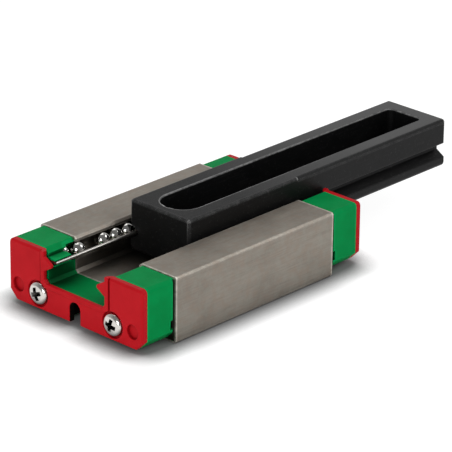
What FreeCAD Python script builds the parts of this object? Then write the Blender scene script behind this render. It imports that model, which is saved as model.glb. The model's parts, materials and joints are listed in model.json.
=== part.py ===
import FreeCAD, Part
import math
import os
import types

import Sketcher

# Miniature linear guide carriage with the plastic dummy rail that keeps its balls in place.
# It lies on its mounting face with the rail channel open upwards.
# X runs along the rail, Y across it (left is +Y) and Z up; the origin is the middle of the mounting face.
# The rear end of the carriage is +X, where the dummy rail sticks out. Sizes are in millimetres.

SIZES = {
    # Rail that the carriage runs on, and the steel block
    "rail_width": 12.0,
    "block_length": 32.4,
    "block_width": 27.0,
    "block_height": 10.0,
    "block_edge_chamfer": 0.25,
    "block_base_chamfer": 0.25,
    "channel_clearance": 0.35,
    "channel_depth": 5.4,
    "channel_floor_chamfer": 0.45,
    "channel_mouth_chamfer": 0.35,
    "mount_spacing_long": 20.0,
    "mount_spacing_wide": 20.0,
    "mount_hole_diameter": 2.5,
    "mount_hole_depth": 3.5,
    # Balls and the track they run round
    "ball_diameter": 2.381,
    "ball_row_spacing": 13.0,
    "ball_row_depth": 2.0,
    "raceway_clearance": 0.06,
    "return_wall": 1.45,
    "passage_clearance": 0.15,
    "guide_clearance": 0.05,
    "first_ball_place": 5.35,
    "ball_gap": 0.03,
    # Wires that hold the balls when there is no rail
    "wire_diameter": 0.5,
    "wire_clearance": 0.05,
    "wire_ball_gap": 0.1,
    "wire_leg": 2.65,
    # End caps
    "cap_length": 5.3,
    "cap_side_setback": 0.2,
    "cap_top_setback": 0.15,
    "cap_base": 0.6,
    "cap_corner_chamfer": 1.4,
    "cap_corner_round": 0.7,
    "cap_mouth_chamfer": 0.7,
    "seam_width": 0.4,
    "seam_depth": 0.35,
    "side_slot_width": 0.8,
    "side_slot_height": 1.4,
    "side_slot_depth": 0.8,
    "side_slot_base": 2.3,
    "oil_hole_diameter": 1.6,
    "oil_recess_depth": 3.0,
    "oil_recess_margin": 1.2,
    "tongue_length": 3.2,
    "tongue_root_height": 1.4,
    "tongue_nose_height": 1.0,
    # End seals
    "seal_thickness": 1.05,
    "seal_clearance": 0.05,
    "seal_floor_rise": 0.45,
    "seal_floor_chamfer": 0.55,
    "seal_back_chamfer": 0.65,
    "seal_edge_bevel": 0.25,
    "seal_rim_width": 0.7,
    "seal_rim_rise": 0.15,
    "seal_crease_width": 0.15,
    "seal_crease_depth": 0.25,
    "seal_lip_thickness": 0.5,
    "seal_bump_reach": 1.55,
    "seal_bump_height": 2.3,
    "seal_nose_height": 0.4,
    "seal_dimple_diameter": 2.2,
    "seal_dimple_depth": 0.45,
    "seal_dimple_inset": 1.9,
    "seal_dimple_height": 3.2,
    "seal_notch_width": 2.2,
    "seal_notch_cover": 1.1,
    # Screws that hold each cap and seal on the block
    "screw_spacing": 14.9,
    "screw_height": 3.0,
    "screw_diameter": 2.0,
    "screw_length": 10.0,
    "screw_hole_spare": 0.8,
    "thread_clearance": 0.05,
    "cap_screw_clearance": 0.15,
    "head_diameter": 3.5,
    "head_height": 1.05,
    "head_bevel": 0.5,
    "head_pocket_depth": 0.5,
    "head_pocket_clearance": 0.25,
    "recess_span": 1.9,
    "recess_arm_width": 0.55,
    "recess_depth": 0.6,
    # Dummy rail
    "dummy_length": 56.0,
    "dummy_front": -5.8,
    "dummy_width": 11.7,
    "dummy_rise": 3.0,
    "dummy_floor_gap": 0.25,
    "dummy_groove_clearance": 0.1,
    "dummy_bead_round": 0.75,
    "dummy_lip_round": 0.2,
    "dummy_bevel": 0.25,
    "dummy_long_chamfer": 0.5,
    "dummy_chamfer_start": 17.0,
    "dummy_slot_width": 6.5,
    "dummy_slot_front_wall": 1.5,
    "dummy_slot_rear_wall": 2.5,
    "dummy_slot_corner": 1.0,
    "dummy_pocket_floor": 1.5,
}

# A ball is drawn with flat facets, so that the long rows stay light: sides round it, and the latitudes
# of its rings of corners. The balls that never show have fewer.
BALL_FACETS = {
    "load": (8, (-66, -33, 0, 33, 66)),
    "return": (6, (-55, 0, 55)),
}
# Half the side of an octagon, as a share of the radius of the circle inside it
OCTAGON_SHARE = math.tan(math.pi / 8)
NEAR = 0.001


class Size:
    """A length that carries both its number and the sheet formula that gives it."""

    def __init__(self, value, formula):
        self.value = value
        self.formula = formula

    def __add__(self, other):
        other = as_size(other)
        return Size(self.value + other.value, f"({self.formula} + {other.formula})")

    def __sub__(self, other):
        other = as_size(other)
        return Size(self.value - other.value, f"({self.formula} - {other.formula})")

    def __mul__(self, other):
        other = as_size(other)
        return Size(self.value * other.value, f"({self.formula} * {other.formula})")

    def __truediv__(self, other):
        other = as_size(other)
        return Size(self.value / other.value, f"({self.formula} / {other.formula})")

    def __neg__(self):
        return Size(-self.value, f"(-{self.formula})")


def as_size(item):
    """A plain number as a size."""
    return item if isinstance(item, Size) else Size(float(item), f"{float(item)}")


def root(size):
    """The square root of a size."""
    return Size(math.sqrt(size.value), f"sqrt({size.formula})")


doc = FreeCAD.newDocument("linear_guide_carriage")
sheet = doc.addObject("Spreadsheet::Sheet", "sizes")
for row, (name, number) in enumerate(SIZES.items(), start=1):
    sheet.set(f"A{row}", name)
    sheet.set(f"B{row}", str(number))
    sheet.setAlias(f"B{row}", name)
doc.recompute()
S = types.SimpleNamespace(**{name: Size(number, f"sizes.{name}") for name, number in SIZES.items()})

# Places that several pieces share
block_end = S.block_length / 2
cap_face = block_end + S.cap_length
seal_face = cap_face + S.seal_thickness
channel_wall = S.rail_width / 2 + S.channel_clearance
channel_floor = S.block_height - S.channel_depth
cap_side = S.block_width / 2 - S.cap_side_setback
cap_top = S.block_height - S.cap_top_setback
ball_radius = S.ball_diameter / 2
ball_height = S.block_height - S.ball_row_depth
load_row = S.ball_row_spacing / 2
passage_radius = ball_radius + S.passage_clearance
return_row = S.block_width / 2 - S.return_wall - passage_radius
turn_radius = (return_row - load_row) / 2
turn_centre = load_row + turn_radius
wire_radius = S.wire_diameter / 2
wire_row = load_row - ball_radius - S.wire_ball_gap - wire_radius
wire_slot = wire_radius + S.wire_clearance
wire_leg_place = cap_face - wire_slot
seal_side = S.rail_width / 2 + S.seal_clearance
seal_peak = seal_side - S.seal_bump_reach
seal_floor = channel_floor + S.seal_floor_rise
oil_hole_height = (S.cap_base + channel_floor) / 2
notch_side = S.seal_notch_width / 2
notch_top = seal_floor - S.seal_notch_cover
dummy_top = S.block_height + S.dummy_rise
screw_side = S.screw_spacing / 2
screw_seat = seal_face - S.head_pocket_depth


# Helpers for sketches and features

def bind(item, path, size):
    """Ties one property of an object to the sheet."""
    item.setExpression(path, as_size(size).formula)


def new_body(label):
    """A body whose label names its file."""
    body = doc.addObject("PartDesign::Body", label)
    body.Label = label
    return body


def place(body, x, y, z, end):
    """Puts a body at a place given for the rear end; end -1 turns the place and the body to the front."""
    body.Placement.Rotation = FreeCAD.Rotation(FreeCAD.Vector(0, 0, 1), 0 if end > 0 else 180)
    for axis, distance in (("x", as_size(x) * end), ("y", as_size(y)), ("z", as_size(z))):
        bind(body, f"Placement.Base.{axis}", distance)


def plane_sketch(body, name, role, offset=(0, 0, 0)):
    """A sketch on one of the body's own origin planes, moved by an offset tied to the sheet."""
    sketch = body.newObject("Sketcher::SketchObject", name)
    plane = next(item for item in body.Origin.OriginFeatures if item.Role == role)
    sketch.AttachmentSupport = [(plane, "")]
    sketch.MapMode = "FlatFace"
    for axis, distance in zip("xyz", offset):
        bind(sketch, f"AttachmentOffset.Base.{axis}", distance)
    return sketch


def tie(sketch, kind, point, size):
    """Adds a dimension to a sketch and ties it to the sheet."""
    size = as_size(size)
    number = sketch.addConstraint(Sketcher.Constraint(kind, *point, size.value))
    bind(sketch, f"Constraints[{number}]", size)


def draw(sketch, steps, closed=True):
    """Draws an outline. A step (u, v) is a straight line to that corner, and a step
    (u, v, centre, clockwise) is an arc to it. Every corner is tied to the sheet."""
    corners = [tuple(as_size(item) for item in step[:2]) for step in steps]
    spots = [FreeCAD.Vector(u.value, v.value, 0) for u, v in corners]
    ends = []
    for index, step in enumerate(steps):
        if index == 0 and not closed:
            continue
        begin, finish = spots[index - 1], spots[index]
        if len(step) == 2:
            line = sketch.addGeometry(Part.LineSegment(begin, finish), False)
            ends.append(((line, 1), (line, 2), index))
            continue
        centre, clockwise = step[2], step[3]
        middle = FreeCAD.Vector(as_size(centre[0]).value, as_size(centre[1]).value, 0)
        circle = Part.Circle(middle, FreeCAD.Vector(0, 0, 1), (begin - middle).Length)
        first, last = (finish, begin) if clockwise else (begin, finish)
        curve = Part.ArcOfCircle(circle, circle.parameter(first), circle.parameter(last))
        arc = sketch.addGeometry(curve, False)
        ends.append(((arc, 2), (arc, 1), index) if clockwise else ((arc, 1), (arc, 2), index))
        chord = finish - begin
        kind, size = ("DistanceX", centre[0]) if abs(chord.y) > abs(chord.x) else ("DistanceY", centre[1])
        tie(sketch, kind, (arc, 3), size)
    for position, (_, end, index) in enumerate(ends):
        if closed or position + 1 < len(ends):
            start = ends[(position + 1) % len(ends)][0]
            sketch.addConstraint(Sketcher.Constraint("Coincident", *end, *start))
        tie(sketch, "DistanceX", end, corners[index][0])
        tie(sketch, "DistanceY", end, corners[index][1])
    if not closed:
        tie(sketch, "DistanceX", ends[0][0], corners[0][0])
        tie(sketch, "DistanceY", ends[0][0], corners[0][1])


def both_sides(steps):
    """The right half of an outline followed by its mirror image, back to the start."""
    mirror = []
    for index in reversed(range(len(steps))):
        corner = (-as_size(steps[index][0]), steps[index][1])
        arc = steps[index + 1][2:] if index + 1 < len(steps) else ()
        if arc:
            (u, v), clockwise = arc
            arc = ((-as_size(u), v), clockwise)
        mirror.append(corner + arc)
    return steps + mirror


def circles(sketch, places, radius):
    """Draws equal circles at the given places."""
    for u, v in places:
        spot = FreeCAD.Vector(as_size(u).value, as_size(v).value, 0)
        circle = Part.Circle(spot, FreeCAD.Vector(0, 0, 1), radius.value)
        number = sketch.addGeometry(circle, False)
        tie(sketch, "DistanceX", (number, 3), u)
        tie(sketch, "DistanceY", (number, 3), v)
        tie(sketch, "Radius", (number,), radius)


def rectangles(sketch, inner, outer, low, high):
    """Draws a rectangle from inner to outer on each side of the middle line."""
    for sign in (1, -1):
        near, far = inner * sign, outer * sign
        draw(sketch, [(near, low), (far, low), (far, high), (near, high)])


def feature(body, kind, name, sketch):
    """A feature of a body made from a sketch."""
    item = body.newObject(f"PartDesign::{kind}", name)
    item.Profile = sketch
    return item


def pad(body, name, sketch, length, forward=True):
    """Adds a sketch's outline over a length, along its normal or against it."""
    item = feature(body, "Pad", name, sketch)
    item.Reversed = not forward
    bind(item, "Length", length)
    return item


def pocket(body, name, sketch, depth, forward=False):
    """Cuts a sketch's outline to a depth, against its normal or along it."""
    item = feature(body, "Pocket", name, sketch)
    item.Reversed = forward
    bind(item, "Length", depth)
    return item


def turn(body, kind, name, sketch, axis, angle, against=False):
    """Turns a sketch's outline round one of the sketch's own axes."""
    item = feature(body, kind, name, sketch)
    item.ReferenceAxis = (sketch, [axis])
    item.Angle = angle
    item.Reversed = against
    return item


def edges_at(shape, middles):
    """Names of the edges whose middles lie at the given points."""
    wanted = [FreeCAD.Vector(*(as_size(item).value for item in point)) for point in middles]
    names = []
    for number, edge in enumerate(shape.Edges, start=1):
        middle = edge.valueAt((edge.FirstParameter + edge.LastParameter) / 2)
        if any(middle.distanceToPoint(point) < NEAR for point in wanted):
            names.append(f"Edge{number}")
    if len(names) != len(wanted):
        raise ValueError(f"{len(names)} edges found for {len(wanted)} places")
    return names


def dress(body, kind, name, middles, size):
    """Rounds or bevels the edges with the given middles."""
    doc.recompute()
    base = body.Tip
    item = body.newObject(f"PartDesign::{kind}", name)
    item.Base = (base, edges_at(base.Shape, middles))
    bind(item, "Radius" if kind == "Fillet" else "Size", size)
    return item


# Steel block

def make_block():
    """The U-shaped steel block with its ball tracks, return bores and tapped holes."""
    body = new_body("carriage_block")
    side = S.block_width / 2
    track_radius = ball_radius + S.raceway_clearance
    track_step = load_row - channel_wall
    track_mouth = root(track_radius * track_radius - track_step * track_step)
    section = plane_sketch(body, "block_section", "YZ_Plane", (0, 0, -block_end))
    draw(section, both_sides([
        (channel_wall - S.channel_floor_chamfer, channel_floor),
        (channel_wall, channel_floor + S.channel_floor_chamfer),
        (channel_wall, ball_height - track_mouth),
        (channel_wall, ball_height + track_mouth, (load_row, ball_height), False),
        (channel_wall, S.block_height - S.channel_mouth_chamfer),
        (channel_wall + S.channel_mouth_chamfer, S.block_height),
        (side - S.block_edge_chamfer, S.block_height),
        (side, S.block_height - S.block_edge_chamfer),
        (side, S.block_base_chamfer),
        (side - S.block_base_chamfer, 0),
    ]))
    circles(section, [(return_row, ball_height), (-return_row, ball_height)], passage_radius)
    pad(body, "block_length_pad", section, S.block_length)

    mounts = plane_sketch(body, "mount_hole_places", "XY_Plane")
    along, across = S.mount_spacing_long / 2, S.mount_spacing_wide / 2
    corners = [(along, across), (-along, across), (-along, -across), (along, -across)]
    circles(mounts, corners, S.mount_hole_diameter / 2)
    pocket(body, "mount_holes", mounts, S.mount_hole_depth, forward=True)

    hole_depth = S.screw_length - (screw_seat - block_end) + S.screw_hole_spare
    for end, word in ((1, "rear"), (-1, "front")):
        taps = plane_sketch(body, f"{word}_screw_places", "YZ_Plane", (0, 0, block_end * end))
        places = [(screw_side, S.screw_height), (-screw_side, S.screw_height)]
        circles(taps, places, S.screw_diameter / 2 + S.thread_clearance)
        pocket(body, f"{word}_screw_holes", taps, hole_depth, forward=end < 0)
    return body


# End caps

def make_cap(label, end):
    """A plastic end cap: channel, ball pick-up tongues, turn passages, wire slots, holes and oil recess."""
    body = new_body(label)
    round_top = (cap_side - S.cap_corner_round, cap_top - S.cap_corner_round)
    section = plane_sketch(body, f"{label}_section", "YZ_Plane", (0, 0, block_end))
    draw(section, both_sides([
        (channel_wall - S.channel_floor_chamfer, channel_floor),
        (channel_wall, channel_floor + S.channel_floor_chamfer),
        (channel_wall, cap_top - S.cap_mouth_chamfer),
        (channel_wall + S.cap_mouth_chamfer, cap_top),
        (cap_side - S.cap_corner_round, cap_top),
        (cap_side, cap_top - S.cap_corner_round, round_top, True),
        (cap_side, S.cap_base + S.cap_corner_chamfer),
        (cap_side - S.cap_corner_chamfer, S.cap_base),
    ]))
    pad(body, f"{label}_pad", section, S.cap_length)

    tongues = plane_sketch(body, f"{label}_tongues", "YZ_Plane", (0, 0, cap_face))
    root_side = channel_wall + S.channel_clearance
    for sign in (1, -1):
        draw(tongues, [
            (root_side * sign, ball_height - S.tongue_root_height / 2),
            (root_side * sign, ball_height + S.tongue_root_height / 2),
            (channel_wall * sign, ball_height + S.tongue_root_height / 2),
            (wire_row * sign, ball_height + S.tongue_nose_height / 2),
            (wire_row * sign, ball_height - S.tongue_nose_height / 2),
            (channel_wall * sign, ball_height - S.tongue_root_height / 2),
        ])
    pad(body, f"{label}_tongue_pad", tongues, S.tongue_length, forward=False)

    for sign, word in ((1, "left"), (-1, "right")):
        passage = plane_sketch(body, f"{label}_{word}_passage", "YZ_Plane",
                               (turn_centre * sign, 0, block_end))
        flat = passage_radius * OCTAGON_SHARE
        draw(passage, [
            (0, ball_height - passage_radius),
            (turn_radius + flat, ball_height - passage_radius),
            (turn_radius + passage_radius, ball_height - flat),
            (turn_radius + passage_radius, ball_height + flat),
            (turn_radius + flat, ball_height + passage_radius),
            (0, ball_height + passage_radius),
        ])
        turn(body, "Groove", f"{label}_{word}_turn", passage, "V_Axis", 360)

    notch = plane_sketch(body, f"{label}_wire_notches", "YZ_Plane", (0, 0, cap_face))
    rectangles(notch, seal_peak, wire_row + wire_slot, ball_height - wire_slot, ball_height + wire_slot)
    pocket(body, f"{label}_wire_notch", notch, S.tongue_length)
    legs = plane_sketch(body, f"{label}_wire_legs", "YZ_Plane", (0, 0, cap_face))
    leg_end = wire_row + S.wire_leg + S.wire_clearance
    rectangles(legs, seal_peak, leg_end, ball_height - wire_slot, ball_height + wire_slot)
    pocket(body, f"{label}_wire_leg_slots", legs, wire_slot * 2)

    holes = plane_sketch(body, f"{label}_hole_places", "YZ_Plane", (0, 0, cap_face))
    places = [(screw_side, S.screw_height), (-screw_side, S.screw_height)]
    circles(holes, places, S.screw_diameter / 2 + S.cap_screw_clearance)
    circles(holes, [(0, oil_hole_height)], S.oil_hole_diameter / 2)
    pocket(body, f"{label}_holes", holes, S.cap_length)
    recess = plane_sketch(body, f"{label}_oil_recess_outline", "YZ_Plane", (0, 0, cap_face))
    recess_side = notch_side + S.oil_recess_margin
    draw(recess, [(-recess_side, 0), (recess_side, 0), (recess_side, notch_top), (-recess_side, notch_top)])
    pocket(body, f"{label}_oil_recess", recess, S.oil_recess_depth)

    seam = plane_sketch(body, f"{label}_seam", "YZ_Plane", (0, 0, block_end))
    past_side = cap_side + S.seam_depth
    rectangles(seam, cap_side - S.seam_depth, past_side, 0, S.block_height)
    pocket(body, f"{label}_seam_rebate", seam, S.seam_width, forward=True)
    slots = plane_sketch(body, f"{label}_side_slots", "YZ_Plane", (0, 0, block_end))
    rectangles(slots, cap_side - S.side_slot_depth, past_side,
               S.side_slot_base, S.side_slot_base + S.side_slot_height)
    pocket(body, f"{label}_side_slot", slots, S.side_slot_width, forward=True)
    place(body, 0, 0, 0, end)
    return body


# End seals

def make_seal(label, end):
    """A plastic end seal with a raised rim round the rail and thin lips that reach into its ball grooves."""
    body = new_body(label)
    corner = S.seal_floor_chamfer
    inner_edge = [
        (seal_side - corner, seal_floor),
        (seal_side, seal_floor + corner),
        (seal_side, cap_top),
    ]
    round_top = (cap_side - S.cap_corner_round, cap_top - S.cap_corner_round)
    plate = plane_sketch(body, f"{label}_outline", "YZ_Plane", (0, 0, cap_face))
    draw(plate, both_sides(inner_edge + [
        (cap_side - S.cap_corner_round, cap_top),
        (cap_side, cap_top - S.cap_corner_round, round_top, True),
        (cap_side, S.cap_base + S.cap_corner_chamfer),
        (cap_side - S.cap_corner_chamfer, S.cap_base),
    ]))
    pad(body, f"{label}_plate", plate, S.seal_thickness)
    chamfer_middle = S.cap_base + S.cap_corner_chamfer / 2
    side_middle = (cap_top - S.cap_corner_round + S.cap_base + S.cap_corner_chamfer) / 2
    outer_edges = [(seal_face, 0, S.cap_base)]
    for sign in (1, -1):
        outer_edges.append((seal_face, (cap_side - S.cap_corner_chamfer / 2) * sign, chamfer_middle))
        outer_edges.append((seal_face, cap_side * sign, side_middle))
    dress(body, "Chamfer", f"{label}_soft_edge", outer_edges, S.seal_edge_bevel)

    rim = plane_sketch(body, f"{label}_rim_outline", "YZ_Plane", (0, 0, cap_face))
    rim_side, rim_base = seal_side + S.seal_rim_width, seal_floor - S.seal_rim_width
    draw(rim, both_sides(inner_edge + [(rim_side, cap_top), (rim_side, rim_base)]))
    pad(body, f"{label}_rim", rim, S.seal_thickness + S.seal_rim_rise)

    back_edges = [(cap_face, 0, seal_floor)]
    for sign in (1, -1):
        back_edges.append((cap_face, (seal_side - corner / 2) * sign, seal_floor + corner / 2))
        back_edges.append((cap_face, seal_side * sign, (seal_floor + corner + cap_top) / 2))
    dress(body, "Chamfer", f"{label}_thinned_back", back_edges, S.seal_back_chamfer)

    rim_face = seal_face + S.seal_rim_rise
    lips = plane_sketch(body, f"{label}_lip_outlines", "YZ_Plane", (0, 0, rim_face))
    lip_root = (seal_side + rim_side) / 2
    for sign in (1, -1):
        draw(lips, [
            (lip_root * sign, ball_height - S.seal_bump_height / 2),
            (seal_side * sign, ball_height - S.seal_bump_height / 2),
            (seal_peak * sign, ball_height - S.seal_nose_height / 2),
            (seal_peak * sign, ball_height + S.seal_nose_height / 2),
            (seal_side * sign, ball_height + S.seal_bump_height / 2),
            (lip_root * sign, ball_height + S.seal_bump_height / 2),
        ])
    pad(body, f"{label}_lips", lips, S.seal_lip_thickness, forward=False)
    creases = plane_sketch(body, f"{label}_crease_outlines", "YZ_Plane", (0, 0, seal_face))
    rectangles(creases, rim_side, rim_side + S.seal_crease_width, rim_base, cap_top)
    pocket(body, f"{label}_creases", creases, S.seal_crease_depth)

    screw_places = [(screw_side, S.screw_height), (-screw_side, S.screw_height)]
    heads = plane_sketch(body, f"{label}_head_places", "YZ_Plane", (0, 0, rim_face))
    circles(heads, screw_places, S.head_diameter / 2 + S.head_pocket_clearance)
    pocket(body, f"{label}_head_pockets", heads, S.head_pocket_depth + S.seal_rim_rise)
    shanks = plane_sketch(body, f"{label}_shank_places", "YZ_Plane", (0, 0, rim_face))
    circles(shanks, screw_places, S.screw_diameter / 2 + S.cap_screw_clearance)
    pocket(body, f"{label}_shank_holes", shanks, S.seal_thickness + S.seal_rim_rise)

    dimples = plane_sketch(body, f"{label}_dimple_places", "YZ_Plane", (0, 0, seal_face))
    dimple_side = cap_side - S.seal_dimple_inset
    dimple_places = [(dimple_side, S.seal_dimple_height), (-dimple_side, S.seal_dimple_height)]
    circles(dimples, dimple_places, S.seal_dimple_diameter / 2)
    pocket(body, f"{label}_dimples", dimples, S.seal_dimple_depth)

    notch = plane_sketch(body, f"{label}_notch_outline", "YZ_Plane", (0, 0, seal_face))
    arch = notch_top - notch_side
    draw(notch, [
        (-notch_side, 0),
        (notch_side, 0),
        (notch_side, arch),
        (-notch_side, arch, (0, arch), False),
    ])
    pocket(body, f"{label}_notch", notch, S.seal_thickness)
    place(body, 0, 0, 0, end)
    return body


# Screws, return guides and wires

def make_screw(label, end, side):
    """A pan-head screw with a cross recess, drawn along X with its seat at the body's origin."""
    body = new_body(label)
    shank, head = S.screw_diameter / 2, S.head_diameter / 2
    profile = plane_sketch(body, f"{label}_profile", "XY_Plane")
    draw(profile, [
        (-S.screw_length, 0),
        (-S.screw_length, shank),
        (0, shank),
        (0, head),
        (S.head_height - S.head_bevel, head),
        (S.head_height, head - S.head_bevel),
        (S.head_height, 0),
    ])
    turn(body, "Revolution", f"{label}_turned", profile, "H_Axis", 360)
    cross = plane_sketch(body, f"{label}_cross", "YZ_Plane", (0, 0, S.head_height))
    arm, span = S.recess_arm_width / 2, S.recess_span / 2
    draw(cross, [
        (span, -arm), (span, arm), (arm, arm), (arm, span), (-arm, span), (-arm, arm),
        (-span, arm), (-span, -arm), (-arm, -arm), (-arm, -span), (arm, -span), (arm, -arm),
    ])
    pocket(body, f"{label}_recess", cross, S.recess_depth)
    place(body, screw_seat, screw_side * side, S.screw_height, end)
    return body


def make_guide(label, end, side):
    """A half-round core against the block's end, which is the inside of the ball turn."""
    body = new_body(label)
    half_height = passage_radius - S.guide_clearance
    core = turn_radius - passage_radius
    section = plane_sketch(body, f"{label}_section", "XY_Plane", (0, 0, -half_height))
    draw(section, [
        (0, -core),
        (0, core, (0, 0), False),
    ])
    pad(body, f"{label}_core", section, half_height * 2)
    place(body, block_end, turn_centre * side, ball_height, end)
    return body


def make_wire(label, end):
    """A wire along the inside of a ball row, with both ends bent out into the end caps."""
    body = new_body(label)
    leg_end = wire_row + S.wire_leg
    path = plane_sketch(body, f"{label}_path", "XY_Plane", (0, 0, ball_height))
    draw(path, [
        (wire_leg_place, leg_end),
        (wire_leg_place, wire_row),
        (-wire_leg_place, wire_row),
        (-wire_leg_place, leg_end),
    ], closed=False)
    section = plane_sketch(body, f"{label}_section", "XZ_Plane", (wire_leg_place, ball_height, -leg_end))
    circles(section, [(0, 0)], wire_radius)
    pipe = feature(body, "AdditivePipe", f"{label}_bent", section)
    pipe.Spine = path
    pipe.Transition = "Right corner"
    place(body, 0, 0, 0, end)
    return body


# Balls

track_length = 2 * S.block_length.value + 2 * math.pi * turn_radius.value


def track_point(distance):
    """The place on the left track this far along it, from the front of the load row, and its stretch."""
    straight, radius = S.block_length.value, turn_radius.value
    bend = math.pi * radius
    x, y, stretch = 0, load_row.value, "load"
    distance = distance % track_length
    if distance < straight:
        x = distance - straight / 2
    elif distance < straight + bend:
        angle = (distance - straight) / radius
        x, y, stretch = straight / 2 + radius * math.sin(angle), -radius * math.cos(angle), "return"
        y += turn_centre.value
    elif distance < 2 * straight + bend:
        x, y, stretch = 1.5 * straight + bend - distance, return_row.value, "return"
    else:
        angle = (distance - 2 * straight - bend) / radius
        x, y, stretch = -straight / 2 - radius * math.sin(angle), radius * math.cos(angle), "return"
        y += turn_centre.value
    return FreeCAD.Vector(x, y, ball_height.value), stretch


def ball_places():
    """How far along the track each ball sits. They follow each other at a small gap, in the turns too,
    and leave one place free."""
    pitch = S.ball_diameter.value + S.ball_gap.value
    places = [S.first_ball_place.value]
    while places[-1] - places[0] < track_length - 3 * pitch:
        step = pitch
        here = track_point(places[-1])[0]
        while pitch - here.distanceToPoint(track_point(places[-1] + step)[0]) > NEAR:
            step += NEAR
        places.append(places[-1] + step)
    return places


def make_ball(centre, sides, latitudes):
    """A ball with flat facets whose corners lie on the true sphere."""
    rings = []
    for latitude in latitudes:
        ring = ball_radius.value * math.cos(math.radians(latitude))
        height = ball_radius.value * math.sin(math.radians(latitude))
        angles = [2 * math.pi * side / sides for side in range(sides)]
        rings.append([centre + FreeCAD.Vector(ring * math.cos(angle), ring * math.sin(angle), height)
                      for angle in angles])
    outlines = [rings[0], rings[-1]]
    for low, high in zip(rings, rings[1:]):
        for side in range(sides):
            outlines.append([low[side - 1], low[side], high[side], high[side - 1]])
    faces = [Part.Face(Part.makePolygon(outline + outline[:1])) for outline in outlines]
    return Part.makeSolid(Part.makeShell(faces))


def make_balls(side, end):
    """Both ball groups of one track: those in the load row, and those in the turns and the return bore."""
    groups = {"load": [], "return": []}
    for distance in ball_places():
        centre, stretch = track_point(distance)
        groups[stretch].append(make_ball(centre, *BALL_FACETS[stretch]))
    rows = []
    for stretch, balls in groups.items():
        label = f"{side}_{stretch}_balls"
        row = doc.addObject("Part::Feature", label)
        row.Label = label
        row.Shape = Part.makeCompound(balls)
        place(row, 0, 0, 0, end)
        rows.append(row)
    return rows


# Dummy rail

def make_dummy_rail():
    """The plastic dummy rail: rail section with ball grooves, a long pocket and bevelled edges."""
    body = new_body("dummy_rail")
    side = S.dummy_width / 2
    base = seal_floor + S.dummy_floor_gap
    slope = (S.seal_bump_height - S.seal_nose_height) / 2 / S.seal_bump_reach
    groove_side = seal_peak - S.dummy_groove_clearance
    groove_half = S.seal_nose_height / 2 + S.dummy_groove_clearance * (as_size(1) - slope)
    mouth = groove_half + slope * (side - groove_side)
    bead = (side - S.dummy_bead_round, base + S.dummy_bead_round)
    section = plane_sketch(body, "dummy_section", "YZ_Plane", (0, 0, S.dummy_front))
    draw(section, both_sides([
        (side - S.dummy_bead_round, base),
        (side, base + S.dummy_bead_round, bead, False),
        (side, ball_height - mouth),
        (groove_side, ball_height - groove_half),
        (groove_side, ball_height + groove_half),
        (side, ball_height + mouth),
        (side, dummy_top - S.dummy_bevel),
        (side - S.dummy_bevel, dummy_top),
    ]))
    pad(body, "dummy_length_pad", section, S.dummy_length)
    rear = S.dummy_front + S.dummy_length
    middle = S.dummy_front + S.dummy_length / 2
    wall_middle = (ball_height + mouth + dummy_top - S.dummy_bevel) / 2
    end_edges = []
    for end_place in (S.dummy_front, rear):
        end_edges.append((end_place, 0, dummy_top))
        for sign in (1, -1):
            bevel_side = side - S.dummy_bevel / 2
            end_edges.append((end_place, bevel_side * sign, dummy_top - S.dummy_bevel / 2))
            end_edges.append((end_place, side * sign, wall_middle))
    dress(body, "Chamfer", "dummy_end_bevel", end_edges, S.dummy_bevel)
    lips = [(middle, side * sign, ball_height + mouth * step) for sign in (1, -1) for step in (1, -1)]
    dress(body, "Fillet", "dummy_lips", lips, S.dummy_lip_round)

    corners = plane_sketch(body, "dummy_long_edges", "YZ_Plane", (0, 0, S.dummy_chamfer_start))
    for sign in (1, -1):
        draw(corners, [
            ((side - S.dummy_long_chamfer) * sign, dummy_top),
            (side * sign, dummy_top - S.dummy_long_chamfer),
            (side * sign, dummy_top),
        ])
    pocket(body, "dummy_long_chamfers", corners, rear - S.dummy_chamfer_start, forward=True)

    slot = plane_sketch(body, "dummy_slot", "XY_Plane", (0, 0, dummy_top))
    half = S.dummy_slot_width / 2
    front_centre = S.dummy_front + S.dummy_slot_front_wall + half
    slot_rear = rear - S.dummy_slot_rear_wall
    corner_place, corner_side = slot_rear - S.dummy_slot_corner, half - S.dummy_slot_corner
    draw(slot, [
        (front_centre, -half),
        (front_centre, half, (front_centre, 0), True),
        (corner_place, half),
        (slot_rear, corner_side, (corner_place, corner_side), True),
        (slot_rear, -corner_side),
        (corner_place, -half, (corner_place, -corner_side), True),
    ])
    pocket(body, "dummy_pocket", slot, dummy_top - base - S.dummy_pocket_floor)
    return body


pieces = [make_block(), make_dummy_rail()]
for word, end in (("rear", 1), ("front", -1)):
    pieces.append(make_cap(f"{word}_end_cap", end))
    pieces.append(make_seal(f"{word}_end_seal", end))
    for hand, side in (("left", 1), ("right", -1)):
        pieces.append(make_screw(f"{word}_{hand}_screw", end, side))
        pieces.append(make_guide(f"{word}_{hand}_return_guide", end, side))
for hand, end in (("left", 1), ("right", -1)):
    pieces.append(make_wire(f"{hand}_retaining_wire", end))
    pieces += make_balls(hand, end)
doc.recompute()

for item in doc.Objects:
    if "Invalid" in item.State or "Error" in item.State:
        raise RuntimeError(f"{item.Name} did not build: {item.State}")
for piece in pieces:
    if piece.Shape.isNull() or not piece.Shape.isValid():
        raise RuntimeError(f"{piece.Label} has no valid shape")

os.makedirs("parts", exist_ok=True)
for piece in pieces:
    piece.Shape.exportStep(f"parts/{piece.Label}.step")
    box = piece.Shape.BoundBox
    print(f"{piece.Label}: {len(piece.Shape.Solids)} solids, {piece.Shape.Volume:.2f} mm3, "
          f"x {box.XMin:.2f} to {box.XMax:.2f}, y {box.YMin:.2f} to {box.YMax:.2f}, "
          f"z {box.ZMin:.2f} to {box.ZMax:.2f}")
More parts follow.
